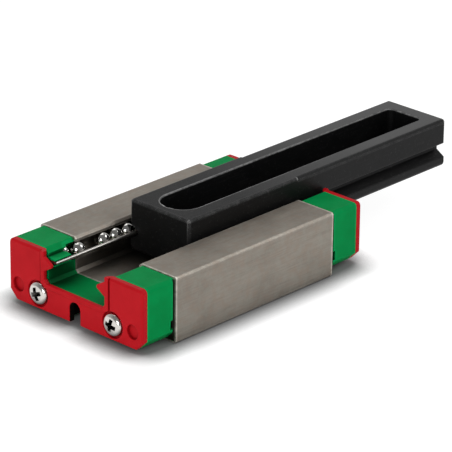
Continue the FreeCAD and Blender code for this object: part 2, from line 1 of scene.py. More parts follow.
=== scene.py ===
# %% [markdown]
# # A miniature linear guide carriage
#
# The real object is a small steel block that runs along a rail on two rows of recirculating balls.
# It lies on its back here, so that the rail channel looks up, and a black plastic dummy rail, which
# keeps the balls in until the carriage is fitted, is pushed half out of its far end. The solids
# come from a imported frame, in metres, with the origin in the middle of the mounting face, X along
# the rail and Z up out of the channel. This script only dresses them: it rounds edges, turns balls
# and screws, and gives every piece its finish. The box of the solids is kept from the start,
# because nothing that is added may grow past it.

# %% Load the frame
import json
from math import cos, pi, radians, sin

import bmesh
import bpy
from mathutils import Matrix, Vector
from mathutils.geometry import area_tri, intersect_point_line

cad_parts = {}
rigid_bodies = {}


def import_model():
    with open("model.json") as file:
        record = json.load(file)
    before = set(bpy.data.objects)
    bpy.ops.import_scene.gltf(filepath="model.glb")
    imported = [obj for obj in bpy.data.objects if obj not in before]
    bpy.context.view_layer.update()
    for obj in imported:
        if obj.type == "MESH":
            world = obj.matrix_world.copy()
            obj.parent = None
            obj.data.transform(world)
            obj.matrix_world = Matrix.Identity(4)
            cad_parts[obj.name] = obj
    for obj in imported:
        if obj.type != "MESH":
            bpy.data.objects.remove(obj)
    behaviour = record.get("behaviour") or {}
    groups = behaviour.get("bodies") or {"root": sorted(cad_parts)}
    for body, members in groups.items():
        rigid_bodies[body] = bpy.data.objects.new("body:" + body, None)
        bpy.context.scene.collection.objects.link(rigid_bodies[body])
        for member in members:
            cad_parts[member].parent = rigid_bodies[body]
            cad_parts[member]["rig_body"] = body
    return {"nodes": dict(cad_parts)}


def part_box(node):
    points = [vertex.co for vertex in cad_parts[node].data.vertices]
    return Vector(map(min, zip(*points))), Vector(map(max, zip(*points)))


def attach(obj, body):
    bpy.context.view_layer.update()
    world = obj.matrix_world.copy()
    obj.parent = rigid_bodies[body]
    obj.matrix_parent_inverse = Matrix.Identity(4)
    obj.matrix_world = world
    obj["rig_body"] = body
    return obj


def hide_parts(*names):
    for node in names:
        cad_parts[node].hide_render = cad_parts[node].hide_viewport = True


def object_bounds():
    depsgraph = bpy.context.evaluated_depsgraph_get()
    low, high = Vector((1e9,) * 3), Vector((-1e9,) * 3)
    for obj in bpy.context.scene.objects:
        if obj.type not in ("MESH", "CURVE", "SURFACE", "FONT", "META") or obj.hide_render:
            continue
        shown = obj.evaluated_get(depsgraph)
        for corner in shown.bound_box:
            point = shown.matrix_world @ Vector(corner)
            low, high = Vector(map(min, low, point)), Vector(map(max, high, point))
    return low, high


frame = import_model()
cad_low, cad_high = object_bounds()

MM = 0.001
print("solids:", len(frame["nodes"]))
print("box in mm:", [round(side / MM, 2) for side in cad_high - cad_low])

# %% [markdown]
# ## The camera
#
# The photo was taken from the front right with a long lens, so the edges along the rail hardly
# converge. A camera could be placed by eye, but then the view would be slightly wrong. Here its
# place and angles were solved from known corners of the block, so it is given as a place, two
# angles, a small roll and a focal length in pixels of the 452 pixel frame.
# The rotation is put together from the three axes of the camera.

# %% Camera
PHOTO_SIDE = 452
FOCAL_PIXELS = 3178.5
SENSOR_WIDTH = 36
CAMERA_PLACE = Vector((-0.30058, -0.29108, 0.18846))
CAMERA_TURN, CAMERA_LIFT, CAMERA_ROLL = radians(-46.67), radians(23.238), radians(0.656)
CLIP_NEAR, CLIP_FAR = 0.01, 10

lens = bpy.data.cameras.new("photo_lens")
lens.sensor_width = SENSOR_WIDTH
lens.lens = FOCAL_PIXELS / PHOTO_SIDE * SENSOR_WIDTH
lens.clip_start, lens.clip_end = CLIP_NEAR, CLIP_FAR
camera = bpy.data.objects.new("photo_camera", lens)
bpy.context.scene.collection.objects.link(camera)

level = Vector((cos(CAMERA_TURN), sin(CAMERA_TURN), 0))
behind = Vector((sin(CAMERA_TURN), -cos(CAMERA_TURN), 0))
backward = behind * cos(CAMERA_LIFT) + Vector((0, 0, sin(CAMERA_LIFT)))
upward = backward.cross(level)
across = level * cos(CAMERA_ROLL) + upward * sin(CAMERA_ROLL)
upward = upward * cos(CAMERA_ROLL) - level * sin(CAMERA_ROLL)
turned = Matrix((across, upward, backward)).transposed().to_4x4()
camera.matrix_world = Matrix.Translation(CAMERA_PLACE) @ turned
bpy.context.scene.camera = camera
bpy.context.scene.view_settings.view_transform = "Standard"
print("lens in mm:", round(lens.lens, 1))

# %% [markdown]
# ## Helpers for node materials
#
# Every finish below is a small node tree, and they all begin the same way: a Principled shader, and
# coordinates taken from the object itself. Because the pieces are modelled in place and in metres,
# Object coordinates are real lengths, so a grain size can be written in millimetres and is the same
# on every piece that shares the finish. Image textures would need unwrapping, and they would blur
# in a close view; noise doesn't.

# %% A finish and its grain
def empty_tree(block):
    """The node tree of a new material or world, with nothing in it yet."""
    block.use_nodes = True
    block.node_tree.nodes.clear()
    return block.node_tree


def new_finish(name):
    """A material with one Principled shader; returns the material, its shader and its tree."""
    material = bpy.data.materials.new(name)
    tree = empty_tree(material)
    shader = tree.nodes.new("ShaderNodeBsdfPrincipled")
    output = tree.nodes.new("ShaderNodeOutputMaterial")
    tree.links.new(shader.outputs["BSDF"], output.inputs["Surface"])
    return material, shader, tree


def grain(tree, size_mm, detail=3.0, rough=0.5, along=(1, 1, 1)):
    """Noise in blobs about size_mm wide, drawn out along an axis where along is larger than 1."""
    place = tree.nodes.new("ShaderNodeTexCoord")
    scale = tree.nodes.new("ShaderNodeMapping")
    scale.inputs["Scale"].default_value = [1 / (size_mm * MM * stretch) for stretch in along]
    noise = tree.nodes.new("ShaderNodeTexNoise")
    noise.inputs["Scale"].default_value = 1.0
    noise.inputs["Detail"].default_value = detail
    noise.inputs["Roughness"].default_value = rough
    tree.links.new(place.outputs["Object"], scale.inputs["Vector"])
    tree.links.new(scale.outputs["Vector"], noise.inputs["Vector"])
    return noise.outputs["Fac"]


# %% [markdown]
# ### Sums and mixes
#
# A noise comes out as a number around a half. Before it can steer a colour or a roughness, it has
# to be stretched over a span, joined with other numbers or used to mix two tones. Blender has a
# node for each of these jobs. One helper per node keeps the finishes below as short as a recipe,
# and because each takes a plain value or the output of another node, they can be nested like
# ordinary sums.

# %% Sums and mixes
def plug(tree, value, socket):
    """Links another node's output to a socket, or writes a plain number or colour into it."""
    if isinstance(value, bpy.types.NodeSocket):
        tree.links.new(value, socket)
    else:
        socket.default_value = (*value, 1) if socket.type == "RGBA" else value


def between(tree, factor, low, high, start=0.3, end=0.7):
    """A number from low, where the factor is at start, to high, where it is at end."""
    span = tree.nodes.new("ShaderNodeMapRange")
    span.inputs["From Min"].default_value = start
    span.inputs["From Max"].default_value = end
    span.inputs["To Min"].default_value = low
    span.inputs["To Max"].default_value = high
    tree.links.new(factor, span.inputs["Value"])
    return span.outputs["Result"]


def calculated(tree, operation, first, second=0.0):
    """One step of arithmetic."""
    step = tree.nodes.new("ShaderNodeMath")
    step.operation = operation
    plug(tree, first, step.inputs[0])
    plug(tree, second, step.inputs[1])
    return step.outputs[0]


def blend_colours(tree, factor, first, second):
    """The first colour where the factor is 0, the second where it is 1."""
    mix = tree.nodes.new("ShaderNodeMix")
    mix.data_type = "RGBA"
    sockets = {socket.identifier: socket for socket in mix.inputs}
    plug(tree, factor, sockets["Factor_Float"])
    plug(tree, first, sockets["A_Color"])
    plug(tree, second, sockets["B_Color"])
    return next(socket for socket in mix.outputs if socket.identifier == "Result_Color")


print("helpers made:", [helper.__name__ for helper in (plug, between, calculated, blend_colours)])

# %% [markdown]
# ### Places, hollows and edges
#
# Little light reaches hollows and the bottom of a channel, outer edges catch the light, and on the
# dummy rail they are worn too. That shade and those highlights are painted into the colour here. All
# of it could be painted by hand, but the Ambient Occlusion node finds it from the shape: it tells how
# open a surface is within a given reach. Turned inside, it looks into the solid, and then the outer
# edges come out low. Even wear and highlights look ruled, so a noise breaks them up.

# %% Places, hollows and edges
EDGE_WEAR_AND_HIGHLIGHT_SPAN = (0.70, 0.96)
PATCH_SIZE, PATCH_SPAN, PATCH_LEAST = 0.9, (0.40, 0.62), 0.45


def split_axes(tree, kind="ShaderNodeTexCoord", socket="Object"):
    """The X, Y and Z of a place on the piece, or of another node's vector."""
    source = tree.nodes.new(kind)
    split = tree.nodes.new("ShaderNodeSeparateXYZ")
    tree.links.new(source.outputs[socket], split.inputs[0])
    return split.outputs


def openness(tree, reach_mm, only_local=False, inside=False):
    """1 where a surface is open all round, towards 0 in a hollow, or at an edge if seen from inside."""
    hollow = tree.nodes.new("ShaderNodeAmbientOcclusion")
    hollow.only_local = only_local
    hollow.inside = inside
    hollow.inputs["Distance"].default_value = reach_mm * MM
    return hollow.outputs["AO"]


def hollows(tree, strength, reach_mm, span):
    """A painted shade mask: up to strength in the hollows of the piece itself, 0 where it is open."""
    return between(tree, openness(tree, reach_mm, only_local=True), strength, 0, *span)


def edge_wear_and_highlight(tree, strength, reach_mm):
    """Up to strength on outer edges, for wear and painted highlights, 0 on flats, broken up by a noise.
    """
    inward = openness(tree, reach_mm, only_local=True, inside=True)
    edge = between(tree, inward, strength, 0, *EDGE_WEAR_AND_HIGHLIGHT_SPAN)
    noise = grain(tree, PATCH_SIZE, detail=4.0, rough=0.7)
    patches = between(tree, noise, PATCH_LEAST, 1, *PATCH_SPAN)
    return calculated(tree, "MULTIPLY", edge, patches)


def bumped(tree, height, depth_mm, strength):
    """A bump from a noise."""
    bump = tree.nodes.new("ShaderNodeBump")
    bump.inputs["Distance"].default_value = depth_mm * MM
    bump.inputs["Strength"].default_value = strength
    tree.links.new(height, bump.inputs["Height"])
    return bump.outputs["Normal"]


helpers = (split_axes, openness, hollows, edge_wear_and_highlight, bumped)
print("helpers made:", [helper.__name__ for helper in helpers])

# %% [markdown]
# ## Ground steel
#
# The block is bearing steel, surface-ground along its length: a warm grey with fine lines along X,
# lighter and darker passes of the wheel, a few soft stains from handling, and a faint warm and cool
# mottle. Lines like that could come from anisotropic gloss alone, but then they would only show in
# the highlights. So noises that are drawn out along X make them in the colour first, and the same
# noise is used again for the roughness and the bump.

# %% Colour of the ground steel
DARK_LINE, LIGHT_LINE = (0.230, 0.206, 0.177), (0.344, 0.309, 0.265)
FINE_WIDTH, FINE_DRAWN_OUT = 0.20, (22, 1, 1)
WIDE_WIDTH, WIDE_DRAWN_OUT = 0.7, (45, 1, 1)
LIGHT_PASS, PASS_SHARE = (0.333, 0.301, 0.262), 0.35
STAIN, STAIN_SIZE, STAIN_SHARE, STAIN_SPAN = (0.190, 0.165, 0.140), 4.5, 0.55, (0.45, 0.75)
FLECK_SIZE, FLECK_SHARE = 1.1, 0.30
WARM_FLECK, WARM_SPAN = (0.283, 0.212, 0.162), (0.38, 0.5)
COOL_FLECK, COOL_SPAN = (0.313, 0.313, 0.268), (0.5, 0.62)

ground_steel, shader, tree = new_finish("ground_steel_finish")
fine_lines = grain(tree, FINE_WIDTH, detail=4.0, rough=0.6, along=FINE_DRAWN_OUT)
wide_lines = grain(tree, WIDE_WIDTH, detail=2.0, along=WIDE_DRAWN_OUT)
stains = grain(tree, STAIN_SIZE, detail=4.0, rough=0.6)
mottle = grain(tree, FLECK_SIZE, detail=5.0, rough=0.65)
steel_colour = blend_colours(tree, between(tree, fine_lines, 0, 1), DARK_LINE, LIGHT_LINE)
for share, tone in ((between(tree, wide_lines, 0, PASS_SHARE), LIGHT_PASS),
                    (between(tree, stains, 0, STAIN_SHARE, *STAIN_SPAN), STAIN),
                    (between(tree, mottle, FLECK_SHARE, 0, *WARM_SPAN), WARM_FLECK),
                    (between(tree, mottle, 0, FLECK_SHARE, *COOL_SPAN), COOL_FLECK)):
    steel_colour = blend_colours(tree, share, steel_colour, tone)
print("steel colour mixed with", len(tree.nodes), "nodes")

# %% [markdown]
# ### Painted shade and highlights on the steel
#
# The end faces of the block, where they show beside the caps, get a painted shade, darkest near the
# floor. Deep in the channel the steel gets a dark brown painted shade, and its long outer edges a
# painted highlight. Each of these is a mask, from a place, from a hollow or from an edge, that mixes
# one more tone over the ground colour.

# %% Painted shade on ends and channel, painted highlight on edges
END_SHADE_LOW, END_SHADE_HIGH = (0.022, 0.019, 0.016), (0.115, 0.104, 0.091)
END_SHADE_SPAN = (1.0 * MM, 2.4 * MM)
END_FACE_DEPTH = 0.05 * MM
CHANNEL_REACH = 9.0
CHANNEL_SHADE_TONE, CHANNEL_SHADE_SHARE, CHANNEL_SHADE_SPAN = (0.050, 0.044, 0.038), 0.85, (0.45, 1.0)
STEEL_EDGE_HIGHLIGHT, EDGE_HIGHLIGHT_SHARE, EDGE_HIGHLIGHT_REACH = (0.90, 0.84, 0.75), 0.62, 0.45

end_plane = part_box("carriage_block")[1].x - END_FACE_DEPTH
place = split_axes(tree)
# End faces of the block: a painted shade, darker towards the floor.
end_face = calculated(tree, "GREATER_THAN", calculated(tree, "ABSOLUTE", place["X"]), end_plane)
end_face_shade = blend_colours(tree, between(tree, place["Z"], 0, 1, *END_SHADE_SPAN), END_SHADE_LOW, END_SHADE_HIGH)
# Deep in the channel: a painted shade.
channel_shade_mask = hollows(tree, CHANNEL_SHADE_SHARE, CHANNEL_REACH, CHANNEL_SHADE_SPAN)
# Long outer edges: a painted highlight.
edge_highlight_mask = edge_wear_and_highlight(tree, EDGE_HIGHLIGHT_SHARE, EDGE_HIGHLIGHT_REACH)
for share, tone in ((end_face, end_face_shade), (edge_highlight_mask, STEEL_EDGE_HIGHLIGHT), (channel_shade_mask, CHANNEL_SHADE_TONE)):
    steel_colour = blend_colours(tree, share, steel_colour, tone)
tree.links.new(steel_colour, shader.inputs["Base Color"])
print("painted shade on faces beyond x in mm:", round(end_plane / MM, 2))

# %% [markdown]
# ### Gloss of the ground steel
#
# Grinding leaves furrows, and light scatters across them much more than along them. The shader's
# Anisotropic value does the same, if it knows which way the furrows run. Its Tangent says so, and
# here that is simply the X axis.

# %% Gloss of the ground steel
STREAKED, QUARTER_TURN = 0.7, 0.25
STEEL_ROUGHNESS = (0.44, 0.58)
FURROW_DEPTH, FURROW_STRENGTH = 0.006, 0.35

lengthwise = tree.nodes.new("ShaderNodeCombineXYZ")
lengthwise.inputs["X"].default_value = 1.0
tree.links.new(lengthwise.outputs[0], shader.inputs["Tangent"])
shader.inputs["Anisotropic"].default_value = STREAKED
shader.inputs["Anisotropic Rotation"].default_value = QUARTER_TURN
shader.inputs["Metallic"].default_value = 1.0
tree.links.new(between(tree, fine_lines, *STEEL_ROUGHNESS), shader.inputs["Roughness"])
furrows = bumped(tree, fine_lines, FURROW_DEPTH, FURROW_STRENGTH)
tree.links.new(furrows, shader.inputs["Normal"])
print("made", ground_steel.name, "with", len(tree.nodes), "nodes")

# %% [markdown]
# ## Moulded plastics
#
# Caps, seals and the dummy rail are injection moulded. Their colour is even, but not flat: the
# pigment clouds a little where the melt flowed, and the mould's spark-eroded walls leave a fine
# satin grain. One function makes all of them, because only the two tones of the pigment, the gloss
# and the depth of the grain differ. Wear on a piece, and its painted shade and highlights, are given
# as a list of coats, each a mask and a tone, and they are mixed over the pigment one after the other.

# %% A moulded plastic
CLOUD_SIZE, SATIN_SIZE = 3.0, 0.16
SATIN_SHADE, SATIN_STRENGTH = 0.25, 0.4
SMOOTHER, ROUGHER = 0.05, 0.07


def moulded(name, deep, light, roughness, grain_depth, specular, coats):
    """A satin plastic between two tones of one pigment, under coats that are each a mask and a tone."""
    material, shader, tree = new_finish(name)
    cloud = grain(tree, CLOUD_SIZE)
    texture = grain(tree, SATIN_SIZE, rough=0.6)
    colour = blend_colours(tree, between(tree, cloud, 0, 1), deep, light)
    colour = blend_colours(tree, between(tree, texture, 0, SATIN_SHADE), colour, deep)
    for mask, tone in coats:
        colour = blend_colours(tree, mask(tree), colour, tone)
    tree.links.new(colour, shader.inputs["Base Color"])
    gloss = between(tree, texture, roughness - SMOOTHER, roughness + ROUGHER)
    tree.links.new(gloss, shader.inputs["Roughness"])
    satin = bumped(tree, texture, grain_depth, SATIN_STRENGTH)
    tree.links.new(satin, shader.inputs["Normal"])
    shader.inputs["Specular IOR Level"].default_value = specular
    print("made", name, "with", len(coats), "coats and", len(tree.nodes), "nodes")
    return material


print("satin grain in mm:", SATIN_SIZE)

# %% [markdown]
# ### Green caps and red seals
#
# Caps and seals are moulded in two colours, so that they are easy to tell apart. Both have a notch
# in the middle, through which the balls are oiled, and its walls get a black painted shade. The
# outer edges of a cap catch the light and get a paler painted highlight, and where the rail runs
# through it the green gets a deep, dark painted shade. On the seals the dimples and the grooves
# round the screw heads get a deeper red painted shade. Each of these could be a material of its own,
# painted face by face, but masks from the place and the shape keep one finish per piece.

# %% Green caps and red seals
# Painted highlight on cap edges; painted shade in the cap channel, the seal hollows and the notches.
DEEP_GREEN, LIGHT_GREEN = (0.001, 0.250, 0.060), (0.001, 0.308, 0.078)
CAP_HIGHLIGHT_GREEN, CAP_HIGHLIGHT_SHARE, CAP_HIGHLIGHT_REACH = (0.004, 0.440, 0.125), 0.6, 0.45
SHADE_GREEN, GREEN_SHADE_SHARE, GREEN_SHADE_SPAN = (0.001, 0.030, 0.008), 0.95, (0.64, 1.0)
DEEP_RED, LIGHT_RED = (0.500, 0.006, 0.012), (0.580, 0.009, 0.016)
SHADE_RED, RED_SHADE_SHARE, RED_SHADE_SPAN = (0.230, 0.002, 0.004), 0.75, (0.50, 0.97)
SEAL_REACH = 1.4
NOTCH_SHADE = (0.004, 0.004, 0.003)
OIL_NOTCH_TOP = 3.97
CAP_NOTCH_HALF, CAP_NOTCH_END = 2.32, 21.45
SEAL_NOTCH_HALF, SEAL_NOTCH_END = 1.13, 22.42


def shaded_notch_walls(tree, half_width_mm, end_mm):
    """1 on the walls of the oil notch, 0 elsewhere, the outer face of the piece too."""
    place = split_axes(tree)
    inner = calculated(tree, "LESS_THAN", calculated(tree, "ABSOLUTE", place["X"]), end_mm * MM)
    middle = calculated(tree, "LESS_THAN", calculated(tree, "ABSOLUTE", place["Y"]), half_width_mm * MM)
    low = calculated(tree, "LESS_THAN", place["Z"], OIL_NOTCH_TOP * MM)
    return calculated(tree, "MULTIPLY", inner, calculated(tree, "MULTIPLY", middle, low))


def cap_notch_shade(tree):
    """Painted shade on the walls of a cap's notch."""
    return shaded_notch_walls(tree, CAP_NOTCH_HALF, CAP_NOTCH_END)


def seal_notch_shade(tree):
    """Painted shade on the walls of a seal's notch."""
    return shaded_notch_walls(tree, SEAL_NOTCH_HALF, SEAL_NOTCH_END)


def seal_hollow_shade(tree):
    """Painted shade in the dimples of a seal and the grooves round its screw heads."""
    return hollows(tree, RED_SHADE_SHARE, SEAL_REACH, RED_SHADE_SPAN)


def cap_edge_highlight(tree):
    """Painted highlight on the outer edges of a cap."""
    return edge_wear_and_highlight(tree, CAP_HIGHLIGHT_SHARE, CAP_HIGHLIGHT_REACH)


def cap_channel_shade(tree):
    """Painted shade inside a cap, where the rail runs through."""
    return hollows(tree, GREEN_SHADE_SHARE, CHANNEL_REACH, GREEN_SHADE_SPAN)


green_plastic = moulded("green_cap_plastic", DEEP_GREEN, LIGHT_GREEN,
                        roughness=0.46, grain_depth=0.006, specular=0.025,
                        coats=[(cap_edge_highlight, CAP_HIGHLIGHT_GREEN), (cap_channel_shade, SHADE_GREEN),
                               (cap_notch_shade, NOTCH_SHADE)])
red_plastic = moulded("red_seal_plastic", DEEP_RED, LIGHT_RED,
                      roughness=0.42, grain_depth=0.006, specular=0.07,
                      coats=[(seal_hollow_shade, SHADE_RED), (seal_notch_shade, NOTCH_SHADE)])

# %% [markdown]
# ### The black dummy rail
#
# A dummy rail is pushed in and out of many carriages. That leaves fine drag lines along X, pale
# specks, and worn upper rims, which also get a grey painted highlight. The faces that look up get a
# painted sheen, stronger towards the end that sticks out. Black shows such marks best, and without
# them it would be a hole in the picture.

# %% The black dummy rail
DEEP_BLACK, LIGHT_BLACK = (0.0028, 0.0028, 0.0030), (0.0050, 0.0050, 0.0052)
DRAGGED = (0.020, 0.020, 0.020)
DRAG_WIDTH, DRAG_DRAWN_OUT = 0.14, (30, 1, 1)
DRAG_SHARE, DRAG_SPAN = 0.7, (0.62, 0.76)
SPECK_SIZE, SPECK_SPAN = 0.35, (0.62, 0.74)
# Upper rims: wear with a painted highlight. Faces looking up: a painted sheen.
WORN_RIM_AND_HIGHLIGHT, RIM_REACH = (0.50, 0.50, 0.50), 0.30
WEAR_AND_HIGHLIGHT_HEIGHT = (9 * MM, 12 * MM)
UPWARD_SHEEN, LOOKING_UP = (0.075, 0.075, 0.075), 0.9
SHEEN_SPAN = (5 * MM, 36 * MM)


def drag_lines(tree):
    """Fine lines along the rail."""
    lines = grain(tree, DRAG_WIDTH, detail=2.0, along=DRAG_DRAWN_OUT)
    return between(tree, lines, 0, DRAG_SHARE, *DRAG_SPAN)


def pale_specks(tree):
    """Small marks all over."""
    return between(tree, grain(tree, SPECK_SIZE, detail=2.0), 0, 1, *SPECK_SPAN)


def worn_and_lit_rims(tree):
    """Wear and a painted highlight on the outer edges, but only high up on the rail."""
    high = between(tree, split_axes(tree)["Z"], 0, 1, *WEAR_AND_HIGHLIGHT_HEIGHT)
    return calculated(tree, "MULTIPLY", edge_wear_and_highlight(tree, 1.0, RIM_REACH), high)


def painted_sheen(tree):
    """Painted sheen on the faces that look up, more and more towards the far end."""
    lean = split_axes(tree, "ShaderNodeNewGeometry", "Normal")["Z"]
    far = between(tree, split_axes(tree)["X"], 0, 1, *SHEEN_SPAN)
    return calculated(tree, "MULTIPLY", calculated(tree, "GREATER_THAN", lean, LOOKING_UP), far)


black_plastic = moulded("black_rail_plastic", DEEP_BLACK, LIGHT_BLACK,
                        roughness=0.44, grain_depth=0.014, specular=0.135,
                        coats=[(drag_lines, DRAGGED), (pale_specks, DRAGGED),
                               (worn_and_lit_rims, WORN_RIM_AND_HIGHLIGHT), (painted_sheen, UPWARD_SHEEN)])

# %% [markdown]
# ## Bright steels
#
# Balls are lapped to a mirror, the retaining wire is drawn bright and the screws are plated. All
# three are metals with a pale colour, and only their roughness tells them apart: almost none on the
# balls, fine lines along the wire, and a slightly uneven skin on the plating. A perfectly even
# mirror looks unreal, so each gets a faint noise.

# %% Bright steels
BALL_TONE, WIRE_TONE = (0.58, 0.57, 0.55), (0.53, 0.51, 0.48)
PLATING_TONE, RECESS_SHADE = (0.70, 0.68, 0.64), (0.035, 0.032, 0.028)
SKIN_SHADE, SKIN_STRENGTH = 0.86, 0.3
CORNER_REACH, CORNER_SPAN = 0.8, (0.45, 0.85)


def bright(name, tone, low, high, size_mm, along=(1, 1, 1), depth_mm=0.0005, corner_shade=None):
    """A bright metal with roughness wandering from low to high, and painted shade in corners if given.
    """
    material, shader, tree = new_finish(name)
    skin = grain(tree, size_mm, along=along)
    shade = [part * SKIN_SHADE for part in tone]
    colour = blend_colours(tree, between(tree, skin, 0, 1), shade, tone)
    # The corners, such as the cross recess, get a painted shade.
    if corner_shade is not None:
        colour = blend_colours(tree, hollows(tree, 1, CORNER_REACH, CORNER_SPAN), colour, corner_shade)
    tree.links.new(colour, shader.inputs["Base Color"])
    tree.links.new(between(tree, skin, low, high), shader.inputs["Roughness"])
    tree.links.new(bumped(tree, skin, depth_mm, SKIN_STRENGTH), shader.inputs["Normal"])
    shader.inputs["Metallic"].default_value = 1.0
    print("made", name, "with roughness from", low, "to", high)
    return material


ball_steel = bright("lapped_ball_steel", BALL_TONE, low=0.05, high=0.10, size_mm=0.25)
wire_steel = bright("drawn_wire_steel", WIRE_TONE, low=0.26, high=0.38, size_mm=0.06,
                    along=(40, 1, 1))
screw_plating = bright("screw_plating", PLATING_TONE, low=0.14, high=0.26, size_mm=0.20,
                       depth_mm=0.002, corner_shade=RECESS_SHADE)

# %% [markdown]
# ## Softened edges
#
# No moulded or ground edge is perfectly sharp, and it is the thin line of light along an edge that
# makes a part look solid. The solids have sharp edges, and a solid of the frame is never edited, so
# each large piece is shown as a copy that stands for it and rides on the same body. A bevel made
# only in the shader would be quicker, but it would not be there in the exported model.

# %% A piece in place of solids
def mesh_from(shape, name):
    """A named mesh of an edited shape, which is given up."""
    mesh = bpy.data.meshes.new(name)
    shape.to_mesh(mesh)
    shape.free()
    return mesh


def show_piece(name, mesh, finish, nodes):
    """Puts a mesh into the scene in place of solids, riding on their body."""
    piece = bpy.data.objects.new(name, mesh)
    bpy.context.scene.collection.objects.link(piece)
    mesh.materials.clear()
    mesh.materials.append(finish)
    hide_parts(*nodes)
    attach(piece, frame["nodes"][nodes[0]]["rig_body"])
    return piece


# %% [markdown]
# ### Edges without room
#
# A bevel needs room. Where a land is narrower than the bevels of its two edges, their new faces
# cross over each other and show as black wedges. Blender can clamp the width, but then one narrow
# land thins the bevel of the whole piece. Here the edges of such lands are found first, by the gap
# to the edge across the face, and they stay sharp.

# %% Edges without room
ROOM_SHARE = 1.1
FACING_EACH_OTHER = -0.3


def gap_between(first, second):
    """Distance between two edges of one flat face, each given by its ends."""
    distances = []
    for (start, end), points in ((first, second), (second, first)):
        for point in points:
            _, share = intersect_point_line(point, start, end)
            nearest = start.lerp(end, min(max(share, 0), 1))
            distances.append((point - nearest).length)
    return min(distances)


def crowded(shape, sharp, width_mm):
    """Sharp edges on a land too narrow for their bevels."""
    wanted, tight = set(sharp), set()
    for face in shape.faces:
        sides = []
        for loop in face.loops:
            ends = (loop.vert.co, loop.link_loop_next.vert.co)
            sides.append((loop.edge, ends, face.normal.cross(ends[1] - ends[0]).normalized()))
        for index, (edge, ends, inward) in enumerate(sides):
            for other, other_ends, other_inward in sides[index + 1:]:
                bevels = (edge in wanted) + (other in wanted)
                apart = inward.dot(other_inward) > FACING_EACH_OTHER
                if bevels == 0 or apart or set(edge.verts) & set(other.verts):
                    continue
                if gap_between(ends, other_ends) < ROOM_SHARE * bevels * width_mm:
                    tight.update((edge, other))
    return tight


print("a land needs", ROOM_SHARE, "times the bevels on it")

# %% [markdown]
# ### Bevels that fold
#
# At a corner where several bevels meet, a face can still fold over itself. That shows in its area:
# the triangles of a folded face cover more than its outline does. So the bevel is tried on a copy,
# the folded faces are looked for, and where there are any it is tried again without the edges close
# to them.

# %% Bevels that fold
BEVEL_TRIES = 5
FOLDED_AREA = 0.01
NEAR_FOLD = 3


def bevelled(shape, numbers, width_mm, steps):
    """A copy of the shape with the numbered edges bevelled."""
    trial = shape.copy()
    trial.edges.ensure_lookup_table()
    bmesh.ops.bevel(trial, geom=[trial.edges[number] for number in numbers], affect="EDGES",
                    offset=width_mm, offset_type="OFFSET", segments=steps, profile=0.5,
                    clamp_overlap=False)
    return trial


def folded_corners(trial):
    """Corners of the faces that cross over themselves."""
    covered = {}
    for loops in trial.calc_loop_triangles():
        area = area_tri(*(loop.vert.co for loop in loops))
        covered[loops[0].face] = covered.get(loops[0].face, 0) + area
    folded = [face for face, area in covered.items() if area - face.calc_area() > FOLDED_AREA]
    return [vert.co for face in folded for vert in face.verts]


def bevelled_cleanly(shape, numbers, width_mm, steps):
    """The bevelled shape, and the edges that took part, without those whose bevels fold."""
    for attempt in range(BEVEL_TRIES):
        trial = bevelled(shape, numbers, width_mm, steps)
        corners = folded_corners(trial)
        if not corners:
            break
        numbers = [number for number in numbers
                   if all((end.co - corner).length > NEAR_FOLD * width_mm
                          for end in shape.edges[number].verts for corner in corners)]
    print("bevel tries:", attempt + 1)
    return trial, numbers


print("tries at a bevel, at most:", BEVEL_TRIES)

# %% [markdown]
# ### The softened pieces
#
# The copy's triangles are joined back into flat faces first, because a bevel runs along faces and
# not across their triangles. Its outer edges are then bevelled in steps by a width near the real
# radius: small on the ground block, larger on the plastics. Weighted normals keep the flats flat,
# and edges that stay sharp are marked so.

# %% The softened pieces
FLAT_ANGLE, SHARP_ANGLE, CREASE_ANGLE = radians(1), radians(28), radians(40)
WELD = 0.0005
BLOCK_EDGE, RAIL_EDGE, CAP_EDGE, SEAL_EDGE = 0.05, 0.13, 0.08, 0.11


def softened(node, name, width_mm, finish, steps=3):
    """A copy of a solid whose sharp outer edges are rounded by width_mm."""
    shape = bmesh.new()
    shape.from_mesh(frame["nodes"][node].data)
    bmesh.ops.scale(shape, vec=(1 / MM,) * 3, verts=shape.verts)
    bmesh.ops.remove_doubles(shape, verts=shape.verts, dist=WELD)
    bmesh.ops.dissolve_limit(shape, angle_limit=FLAT_ANGLE, verts=shape.verts, edges=shape.edges)
    sharp = [edge for edge in shape.edges
             if edge.is_manifold and edge.is_convex and edge.calc_face_angle() > SHARP_ANGLE]
    shape.edges.index_update()
    shape.edges.ensure_lookup_table()
    tight = crowded(shape, sharp, width_mm)
    roomy = [edge.index for edge in sharp if edge not in tight]
    trial, rounded = bevelled_cleanly(shape, roomy, width_mm, steps)
    for face in trial.faces:
        face.smooth = True
    for edge in trial.edges:
        edge.smooth = edge.calc_face_angle(0) < CREASE_ANGLE
    bmesh.ops.scale(trial, vec=(MM,) * 3, verts=trial.verts)
    shape.free()
    piece = show_piece(name, mesh_from(trial, name), finish, [node])
    weighted = piece.modifiers.new("flat_faces", "WEIGHTED_NORMAL")
    weighted.keep_sharp = True
    print(name, "has", len(rounded), "of", len(sharp), "sharp edges rounded")


softened("carriage_block", "ground_block", BLOCK_EDGE, ground_steel, steps=2)
softened("dummy_rail", "moulded_dummy_rail", RAIL_EDGE, black_plastic)
for end in ("front", "rear"):
    softened(f"{end}_end_cap", f"{end}_moulded_cap", CAP_EDGE, green_plastic)
    softened(f"{end}_end_seal", f"{end}_moulded_seal", SEAL_EDGE, red_plastic)

# %% [markdown]
# ## The balls
#
# The solids draw each ball with flat facets, to stay light. Here they become true round balls,
# because a mirror ball shows every facet. Their places could be worked out again from the track,
# but the frame already knows them: the corners of each separate ball lie on the true sphere, so the
# middle of a ball is the mean of its corners, and its radius is the distance to any of them. An
# icosphere has even faces, with no pinched poles in the reflections.

